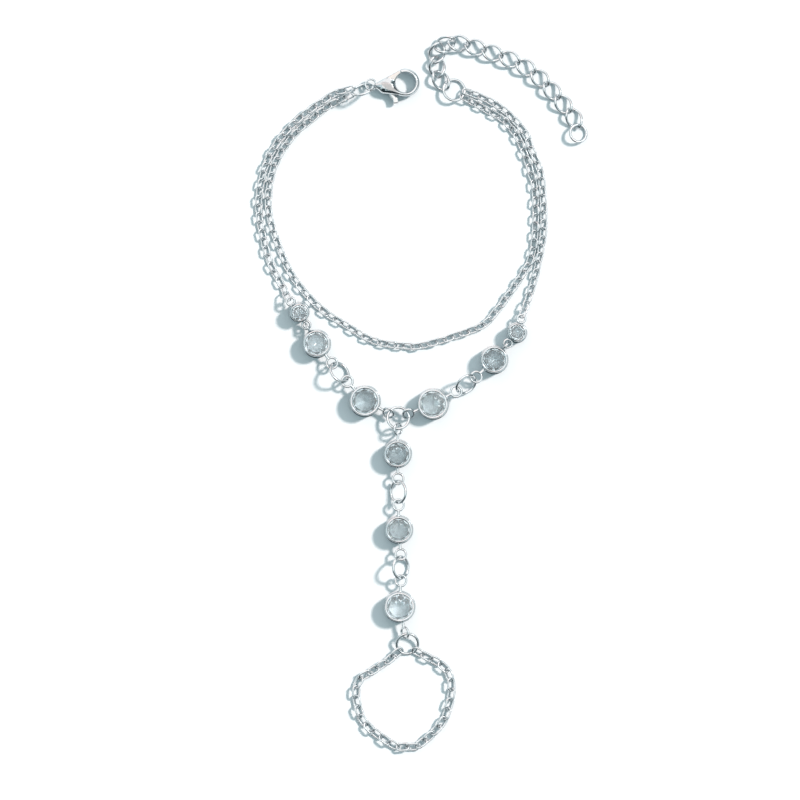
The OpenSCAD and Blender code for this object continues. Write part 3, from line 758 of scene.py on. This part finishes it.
def chain_tree():
    """Lays oval links along a smooth line, each leaning the other way from the one before it."""
    tree, given, out = group_tree("cable chain", "GeometryNodeTree", {
        "Geometry": ("NodeSocketGeometry", None), "Links": ("NodeSocketInt", 40),
        "Link Length": ("NodeSocketFloat", 2.73), "Link Width": ("NodeSocketFloat", 1.8),
        "Wire": ("NodeSocketFloat", 0.2), "Lean": ("NodeSocketFloat", 0.78), "Sway": ("NodeSocketFloat", 0.2),
        "Stray": ("NodeSocketFloat", 0.1), "Seed": ("NodeSocketInt", 1),
        "Finish": ("NodeSocketMaterial", None),
    }, {"Geometry": "NodeSocketGeometry"})
    line = add(tree, "GeometryNodeMeshToCurve", {"Mesh": given["Geometry"]}).outputs[0]
    smooth = add(tree, "GeometryNodeCurveSplineType", {"Curve": line}, spline_type="CATMULL_ROM").outputs[0]
    places = add(tree, "GeometryNodeCurveToPoints", {"Curve": smooth, "Count": given["Links"]}, mode="COUNT")
    double = maths(tree, "MULTIPLY", given["Wire"], 2.0)
    across, along = (maths(tree, "SUBTRACT", given[key], double) for key in ("Link Width", "Link Length"))
    bend = maths(tree, "MULTIPLY", across, 0.5)
    straight = maths(tree, "SUBTRACT", maths(tree, "MULTIPLY", along, 0.5), bend)
    circle = add(tree, "GeometryNodeCurvePrimitiveCircle", {
        "Resolution": LINK_POINTS, "Radius": 1 / cosd(180 / LINK_POINTS)}).outputs[0]
    circle = add(tree, "GeometryNodeTransform", {
        "Geometry": circle, "Rotation": (0.0, 0.0, math.radians(180 / LINK_POINTS))}).outputs[0]
    unit = own_place(tree)
    end = maths(tree, "MULTIPLY", maths(tree, "SIGN", unit["X"]), straight)
    oval = redrawn(tree, circle, maths(tree, "MULTIPLY_ADD", unit["X"], bend, end),
                   maths(tree, "MULTIPLY", unit["Y"], bend))
    link = wire_along(tree, oval, LINK_SIDES, given["Wire"])
    forward = add(tree, "FunctionNodeAlignRotationToVector", {"Vector": places.outputs["Tangent"]},
                  axis="X").outputs[0]
    upright = add(tree, "FunctionNodeAlignRotationToVector", {"Rotation": forward, "Vector": (0.0, 0.0, 1.0)},
                  axis="Z", pivot_axis="X").outputs[0]
    number = add(tree, "GeometryNodeInputIndex").outputs[0]
    side = maths(tree, "SUBTRACT", maths(tree, "MULTIPLY", maths(tree, "MODULO", number, 2.0), 2.0), 1.0)
    sway = drawn_lot(tree, given["Seed"])
    swing = maths(tree, "MULTIPLY", maths(tree, "SUBTRACT", sway, PLAIN_DRAW), given["Sway"])
    lean = maths(tree, "MULTIPLY", side, maths(tree, "ADD", given["Lean"], swing))
    leaning = turned_further(tree, upright, (1.0, 0.0, 0.0), lean)
    stray = drawn_lot(tree, maths(tree, "ADD", given["Seed"], SEED_STEP), -1.0)
    aside = maths(tree, "MULTIPLY", stray, given["Stray"])
    turn = turned_further(tree, leaning, (0.0, 0.0, 1.0), aside)
    return set_out(tree, places.outputs["Points"], link, turn, given["Finish"], out)


cable = chain_tree()
# Lean of the links to each side, how much it varies, and the room that a link leaves its neighbour
LEAN, SWAY, LINK_ROOM = 31, 12, 0.08
# The two fine chains: distance from link to link, link's width, wire's radius, height of the line
STRAND = {"pitch": 1.87, "Link Width": 1.85, "Wire": 0.21, "z": 0.66}
FINGER = {"pitch": 2.15, "Link Width": 2.15, "Wire": 0.25, "z": 0.78}


def chain(name, route, kind, node, seed):
    """Links along a route of (x, y) or (x, y, rise) points; the first and last are the end links' middles."""
    points = [(p[0], p[1], kind["z"] + (p[2] if len(p) > 2 else 0)) for p in route]
    length = sum(math.dist(a, b) for a, b in zip(points, points[1:]))
    links = round(length / kind["pitch"]) + 1
    pitch = length / (links - 1)
    line = mesh_of(name + " route", points, [(k, k + 1) for k in range(len(points) - 1)])
    mesh = modified_mesh(name, line, cable, {
        "Links": links, "Link Length": pitch + 4 * kind["Wire"] + LINK_ROOM, "Link Width": kind["Link Width"],
        "Wire": kind["Wire"], "Lean": math.radians(LEAN), "Sway": math.radians(SWAY), "Seed": seed,
        "Finish": chain_silver})
    handed_over(name, mesh, [node], sharp=None)


def held(middle, heading, past, rise=0.0):
    """Route's end at a jump ring: which way from its middle, how far past its outside, how far it rises."""
    return (*(middle + (RING_D / 2 + past) * way(heading)), rise)


inner_route = [
    held(CLASP_RING, 204, 0.5, 1), (-13.4, 25.4, 0.3), (-16.4, 23.8), (-18.8, 21.9), (-22.7, 18.7),
    (-25.8, 14.9), (-27.9, 10.9), (-28.9, 7.1), (-29.3, 2), (-28.3, -3), (-26.4, -8.4), (-24.3, -12.9),
    (-21, -17.4), (-16.5, -21.7), (-12, -24.5), (-7.4, -27.3), (-3.8, -28.5), (1, -29.1), (4.4, -29.1),
    (11, -27.3), (18, -24.7), (20.7, -22.2), (23.7, -18.3), (26, -15), (28.6, -10.8), (29.7, -6.9),
    (30.1, -2.2), (30.1, 2.7), (29.7, 7.1), (27.9, 13), (26.2, 17.1), (23.1, 21), (19.8, 23), (17.5, 24.3),
    held(EXTENDER_RING, -35, 0.35, 0.3),
]
left_route = [
    held(CLASP_RING, 178, 0.2, 0.6), (-12.9, 27.5, 0.2), (-14.6, 26.9), (-20.1, 23.2), (-23.4, 20.5),
    (-26.9, 16.5), (-29.6, 11.7), (-31, 6.2), (-31.4, 0.9), (-30.2, -6), (-28.4, -11.7), (-25.9, -16.3),
]
right_route = [
    held(EXTENDER_RING, -8, 0.35, 0.3), (17.7, 26.3), (20.6, 24.9), (24, 22.5), (27.6, 18.4), (29.1, 14.7),
    (31.1, 9.6), (31.8, 3.3), (31.9, -1.8), (31.6, -5.8), (30.4, -12), (28.9, -17.4),
]
finger_route = [
    (-3.7, -3.3), (-6.9, -5.5), (-10.2, -7.6), (-11.3, -9.9), (-11.2, -12.9), (-10.2, -16.4), (-8.5, -18.6),
    (-5.8, -20.7), (-2.8, -22.6), (-0.3, -22.9), (2.2, -22.6), (5.1, -20.4), (7.9, -17.2), (9.2, -13.8),
    (9.8, -10.1), (9.1, -6.6), (7.2, -4.4), (4.7, -3.1),
]
finger_route = ([held(FINGER_RING, 222, 0.35)] + [tuple(FINGER_RING + p) for p in finger_route]
                + [held(FINGER_RING, -38, 0.35)])

# Chain's end in a setting's eye: how far past the eye's outside, and how far it rises
EYE_PAST, EYE_RISE = 0.25, 1.0


def eye_stop(s):
    """Middle of the link that hangs in a setting's far eye."""
    eye = s.far_eye()
    return (*(np.array([eye.x, eye.y]) + (CLOSE_EYE_D / 2 + EYE_PAST) * way(s.head_out)), EYE_RISE)


chain("strand_inner", inner_route, STRAND, "inner_strand", 3)
chain("strand_left", left_route + [eye_stop(settings[1])], STRAND, "outer_strand_left", 5)
chain("strand_right", right_route + [eye_stop(settings[6])], STRAND, "outer_strand_right", 8)
chain("finger_loop_chain", finger_route, FINGER, "finger_chain", 2)


# Clasp, drawn flat about the middle of its hook, with the neck towards -x

# Rounds whose common outline is the body's: middle and radius
CAST_ROUNDS = [((0, 0), HOOK_R), ((-4.7, -0.6), 1.62), ((-6.2, -0.4), 0.72)]
# Rounded ends of the neck's skin: half sizes and middle
NECK = [((1.6, 1.6, 1.29), (-4.7, -0.6, 0)), ((0.66, 0.6, 0.56), (-6.25, -0.36, 0))]
# How far out the hook's sweep reaches before the neck takes over, and share of its width that is deepest
NECK_FROM, HOOK_CREST = 6.0, 0.36
# Hook: where it grows slimmer and by how much, how much lower it starts, and how its tip is rounded
SLIM_FROM, SLIM_OVER, SLIM_BY, START_OVER, START_BY = 215, 110, 0.32, 26, 0.7
TIP_OVER, TIP_ROUND = 8, 0.16
# Size of the cells and the number of passes that smooth the casting
CELL, PASSES, SCRAP = 0.08, 8, 0.002
# Gate arm: headings from the hook's middle between which it lies, and its gap to the hook's tip
GATE_FROM, GATE_TO, GATE_GAP, ARM_TO = 112, 160, 2, 187
# Lever's pivot and hub, and the room that it needs as it swings: headings about the pivot and reach
PIVOT, HUB_R, HUB_HALF, HUB_EDGE = np.array([-4.1, -0.9]), 1.0, 0.39, 0.05
SLOT_PLAY, ARM_SWING, ARM_REACH, TAB_SWING, TAB_REACH = 0.07, (-14, 102), 3.7, (-114, -22), 9.0
# Thumb tab: where its pad lies, half sizes and turn of the pad, and the bar that carries it
TAB_AT, PAD_HALF, PAD_TURN = np.array([-2.42, -3.75]), (0.58, 0.7, 0.4), 6
BAR_W, BAR_R, BAR_DEPTH, BAR_PAST_PIN = 1.1, 0.38, 0.98, 0.1
# Outline of a rivet head
RIVET_HEAD = [(0, -0.1), (0.55, -0.1), (0.55, 0.03), (0.45, 0.08), (0, 0.1)]
clasp_place = Matrix.Translation((*CLASP, CLASP_T / 2)) @ turned(0, 0, CLASP_HEADING)


def outside_r(angle, inset=0.0):
    """Distance from the hook's middle to the clasp's outline, round the hook and the neck."""
    u = way(angle)
    best = 0
    for (c0, r0), (c1, r1) in zip(CAST_ROUNDS, CAST_ROUNDS[1:]):
        for share in np.linspace(0, 1, 41):
            r = r0 + (r1 - r0) * share - inset
            c = np.array(c0) * (1 - share) + np.array(c1) * share
            across = abs(c[0] * u[1] - c[1] * u[0])
            if across < r:
                best = max(best, float(c @ u) + math.sqrt(r * r - across * across))
    return best


def polar_sweep(rows, power, crest, sides):
    """Shell swept round the z axis: rows of (angle, inner radius, outer radius, half height), ends closed.

    crest is the share of the width, from the inside, where the section is deepest.
    """
    points, faces = [], []
    for angle, inner, outer, half in rows:
        u, top = way(angle), inner + crest * (outer - inner)
        for s in range(sides):
            c, n = cosd(360 * s / sides), sind(360 * s / sides)
            r = top + (outer - top if c > 0 else top - inner) * math.copysign(abs(c) ** (2 / power), c)
            points.append((r * u[0], r * u[1], half * math.copysign(abs(n) ** (2 / power), n)))
    for k in range(len(rows) - 1):
        for s in range(sides):
            e, a, b = (s + 1) % sides, k * sides, (k + 1) * sides
            faces.append((a + s, b + s, b + e, a + e))
    faces.append(tuple(range(sides)))
    faces.append(tuple(range(len(rows) * sides - 1, (len(rows) - 1) * sides - 1, -1)))
    return np.array(points), faces


def shell_of(bm):
    """Points and faces of a bmesh, which is freed."""
    bm.verts.index_update()
    points = np.array([tuple(v.co) for v in bm.verts])
    faces = [tuple(v.index for v in face.verts) for face in bm.faces]
    bm.free()
    return points, faces


def hull(shells):
    """Tightest skin round some shells."""
    bm = bmesh.new()
    for point in joined(shells)[0]:
        bm.verts.new(point)
    made = bmesh.ops.convex_hull(bm, input=bm.verts)
    bmesh.ops.delete(bm, geom=list({*made["geom_interior"], *made["geom_unused"]}), context="VERTS")
    return shell_of(bm)


def eased(t):
    """Soft step from 0 to 1."""
    t = min(max(t, 0.0), 1.0)
    return t * t * (3 - 2 * t)


def body_rows():
    """Cast body: deep at the neck, slimmer round the hook, rounded off at the hook's tip."""
    rows = []
    for angle in np.arange(GATE_TO, GATE_FROM + 360 + 0.1, 1.0):
        inner, outer = HOOK_OPEN_R, min(outside_r(angle), NECK_FROM)
        half = CLASP_T / 2 - SLIM_BY * eased((angle - SLIM_FROM) / SLIM_OVER)
        half -= START_BY * eased(1 - (angle - GATE_TO) / START_OVER)
        left = (GATE_FROM + 360 - angle) / TIP_OVER
        if left < 1:
            cut = TIP_ROUND * (1 - math.sqrt(max(0, 1 - (1 - left) ** 2)))
            inner, outer, half = inner + cut, outer - cut, half - 2 * cut
        rows.append((angle, inner, outer, half))
    return rows


def arm_rows():
    """Gate arm of the lever, between the hook's tip and the slot that it turns in."""
    rows = []
    for angle in np.arange(GATE_FROM + GATE_GAP, ARM_TO + 0.1, 1.5):
        outer = outside_r(angle, SLOT_PLAY)
        if cosd(angle) < 0:
            outer = min(outer, abs(PIVOT[0] / cosd(angle)))
        rows.append((angle, HOOK_OPEN_R + SLOT_PLAY, outer, LEVER_T / 2))
    return rows


def slab(outline, half):
    """Flat outline of (x, y) points given a thickness about z = 0."""
    n = len(outline)
    points = [(x, y, -half) for x, y in outline] + [(x, y, half) for x, y in outline]
    faces = [tuple(range(n - 1, -1, -1)), tuple(range(n, 2 * n))]
    faces += [(k, (k + 1) % n, n + (k + 1) % n, n + k) for k in range(n)]
    return np.array(points), faces


def slot_outline():
    """Room for the lever: round its hub, and as far as its gate arm and its tab swing."""
    hub_r, outline = HUB_R + 2 * SLOT_PLAY, []
    for start, end, r in [(*TAB_SWING, TAB_REACH), (TAB_SWING[1], ARM_SWING[0], hub_r),
                          (*ARM_SWING, ARM_REACH), (ARM_SWING[1], TAB_SWING[0] + 360, hub_r)]:
        outline += [tuple(PIVOT + r * way(a)) for a in np.linspace(start, end, 24)]
    return outline


def plain_object(name, shell):
    return in_scene(name, mesh_of(name, shell[0].tolist(), faces=shell[1]))


def carved(name, shell, cutter):
    """The shells melted into one smooth skin, as cast metal is, with the cutter taken away."""
    made = plain_object(name, shell)
    skin = made.modifiers.new("skin", "REMESH")
    skin.mode, skin.voxel_size = "VOXEL", CELL
    soft = made.modifiers.new("soft", "SMOOTH")
    soft.factor, soft.iterations = 0.5, PASSES
    tool = plain_object(f"{name}_cutter", cutter)
    cut = made.modifiers.new("cut", "BOOLEAN")
    cut.operation, cut.solver, cut.object = "DIFFERENCE", "EXACT", tool
    mesh = bpy.data.meshes.new_from_object(made.evaluated_get(bpy.context.evaluated_depsgraph_get()))
    for extra in (made, tool):
        bpy.data.objects.remove(extra)
    bm = bmesh.new()
    bm.from_mesh(mesh)
    bmesh.ops.triangulate(bm, faces=bm.faces)
    bmesh.ops.dissolve_degenerate(bm, edges=bm.edges, dist=SCRAP)
    bmesh.ops.triangulate(bm, faces=bm.faces)
    bm.verts.index_update()
    twins = {}
    for face in bm.faces:
        twins.setdefault(frozenset(v.index for v in face.verts), []).append(face)
    scraps = [face for same in twins.values() if len(same) > 1 for face in same]
    bmesh.ops.delete(bm, geom=scraps, context="FACES")
    return shell_of(bm)


tail = moved(torus((TAIL_EYE_D - TAIL_WIRE) / 2, TAIL_WIRE / 2), Matrix.Translation((-CLASP_REACH, 0, 0)))
neck = hull([moved(pebble(half), Matrix.Translation(middle)) for half, middle in NECK])
sweep = polar_sweep(body_rows(), power=2.0, crest=HOOK_CREST, sides=72)
cast = carved("clasp_cast", joined([sweep, tail, neck]), slab(slot_outline(), LEVER_T / 2 + SLOT_PLAY))
at_pivot = Matrix.Translation((*PIVOT, 0))
rivet = revolved([(0, -CLASP_T / 2), (PIN_R, -CLASP_T / 2), (PIN_R, CLASP_T / 2), (0, CLASP_T / 2)], 32)
rivet_head = revolved(RIVET_HEAD, 40)
flush = Matrix.Translation((0, 0, CLASP_T / 2 - RIVET_HEAD[-1][1]))
body_parts = [cast, moved(rivet, at_pivot)]
for flip in (0, 180):
    body_parts.append(moved(rivet_head, at_pivot @ turned(flip) @ flush))
finished("clasp_casting", moved(joined(body_parts), clasp_place), clasp_silver, replaces=["clasp_body"])

bore, rim = PIN_R + HUB_EDGE, HUB_R - HUB_EDGE
hub = revolved([(bore, -HUB_HALF), (rim, -HUB_HALF), (HUB_R, HUB_EDGE - HUB_HALF),
                (HUB_R, HUB_HALF - HUB_EDGE), (rim, HUB_HALF), (bore, HUB_HALF)], 48)
lean = TAB_AT - PIVOT
bar_from, bar_to = PIN_R + BAR_PAST_PIN, float(np.hypot(*lean))
bar = revolved([(0, bar_from), (BAR_R, bar_from), (BAR_R, bar_to), (0, bar_to)], 16)
bar = moved(bar, Matrix.Diagonal((BAR_W / (2 * BAR_R), BAR_DEPTH, 1, 1)))
bar = moved(bar, at_pivot @ turned(0, 0, math.degrees(math.atan2(lean[1], lean[0]))) @ turned(0, 90)
            @ turned(0, 0, 90))
thumb = moved(pebble(PAD_HALF, power=5), Matrix.Translation((*TAB_AT, 0)) @ turned(0, 0, PAD_TURN))
arm = polar_sweep(arm_rows(), power=2.4, crest=0.45, sides=40)
lever = joined([arm, moved(hub, at_pivot), bar, thumb])
finished("gate_lever", moved(lever, clasp_place), lever_silver, body="lever", replaces=["clasp_lever"])


# Floor, light and camera

CARD_DARK, CARD_LIGHT, CARD_HALF = (0.83, 0.885, 0.905, 1), (0.85, 0.905, 0.925, 1), 4


def floor():
    """Pale card that the bracelet lies on, in metres, with a faint grain."""
    corners = [(CARD_HALF * x, CARD_HALF * y, 0) for x, y in ((-1, -1), (1, -1), (1, 1), (-1, 1))]
    mesh = mesh_of("floor", corners, faces=[(0, 1, 2, 3)])
    material, tree, surface = new_material("pale card")
    grain = noise(tree, object_place(tree), 300.0, 2.0)
    tree.links.new(mixed(tree, grain, CARD_DARK, CARD_LIGHT), surface.inputs["Base Color"])
    surface.inputs["Roughness"].default_value = 0.9
    surface.inputs["Specular IOR Level"].default_value = 0.1
    mesh.materials.append(material)
    in_scene("floor", mesh)


# Surroundings, as metal sees them: tint, direction (None is straight up), and where the tint sets in
# and is full, as the cosine of the angle to that direction; each row lies over the ones before it
GROUND_TINT = (0.07, 0.10, 0.11, 1)
SURROUNDINGS = [
    ((0.50, 0.63, 0.665, 1), None, 0.30, 0.55),
    ((0.02, 0.03, 0.035, 1), (-0.15, -0.85, 0.48), 0.72, 0.90),
    ((0.84, 0.84, 0.85, 1), (-0.4, 0.9, 0.35), 0.70, 0.9),
]
SURROUNDINGS_LEVEL = 1.14
# Overhead panel, seen only in reflections: tint, radius, place in metres, brightness
PANEL_TINT, PANEL_R, PANEL_AT, PANEL_LEVEL = (1.0, 0.78, 0.72), 1.45, (0.55, 0.7, 1.6), 0.47
# Key light from the upper right: tint, strength, width and height in degrees, way along the floor
KEY_TINT, KEY_LEVEL, KEY_WIDTH, KEY_HEIGHT, KEY_WAY = (1.0, 0.87, 0.83), 3.75, 8, 41, (0.868, 0.496)
# Small bright disk where the key is, seen only in reflections
GLINT_R, GLINT_FAR, GLINT_LEVEL = 0.25, 1.6, 3


def surroundings():
    """Pale teal room, dark low down and beyond the finger loop, bright beyond the clasp."""
    world = bpy.data.worlds.new("studio")
    bpy.context.scene.world = world
    world.use_nodes = True
    tree = world.node_tree
    heading = add(tree, "ShaderNodeTexCoord").outputs["Generated"]
    room = GROUND_TINT
    for tint, direction, low, high in SURROUNDINGS:
        if direction is None:
            near = add(tree, "ShaderNodeSeparateXYZ", {0: heading}).outputs["Z"]
        else:
            unit = tuple(Vector(direction).normalized())
            near = add(tree, "ShaderNodeVectorMath", {0: heading, 1: unit},
                       operation="DOT_PRODUCT").outputs["Value"]
        room = mixed(tree, ramp(tree, near, low, high, kind="SMOOTHSTEP"), room, tint)
    tree.links.new(room, tree.nodes["Background"].inputs["Color"])
    tree.nodes["Background"].inputs["Strength"].default_value = SURROUNDINGS_LEVEL


def lamp(name, kind):
    return in_scene(name, bpy.data.lights.new(name, kind))


def reflected_disk(name, radius, level):
    """Disk light that shows only in reflections, at a level next to the surroundings' own."""
    disk = lamp(name, "AREA")
    disk.data.shape, disk.data.size = "DISK", 2 * radius
    disk.data.energy = level * math.pi * math.pi * radius ** 2
    disk.visible_diffuse = disk.visible_camera = False
    return disk


def studio():
    """Overhead panel, key light, and the glint that stands for the key in reflections."""
    panel = reflected_disk("panel", PANEL_R, PANEL_LEVEL)
    panel.data.color = PANEL_TINT
    panel.location = PANEL_AT

    key = lamp("key", "SUN")
    key.data.energy, key.data.angle, key.data.color = KEY_LEVEL, math.radians(KEY_WIDTH), KEY_TINT
    toward = Vector((*(np.array(KEY_WAY) * cosd(KEY_HEIGHT)), sind(KEY_HEIGHT)))
    key.rotation_euler = toward.to_track_quat("Z", "Y").to_euler()
    key.visible_glossy = False

    glint = reflected_disk("glint", GLINT_R, GLINT_LEVEL)
    glint.location = GLINT_FAR * toward
    glint.rotation_euler = key.rotation_euler


# Width of the photograph's frame on the floor, its middle, and the camera's height, in metres
VIEW_W, VIEW_Y, CAMERA_Z = 0.1778, -0.04111, 1.2


def camera():
    """Straight down, with a long lens."""
    data = bpy.data.cameras.new("camera")
    data.sensor_width = 36
    data.lens = data.sensor_width * CAMERA_Z / VIEW_W
    data.clip_start, data.clip_end = 0.01, 100
    made = in_scene("camera", data)
    made.location = (0, VIEW_Y, CAMERA_Z)
    bpy.context.scene.camera = made


floor()
surroundings()
studio()
camera()
bpy.context.scene.view_settings.view_transform = "Standard"
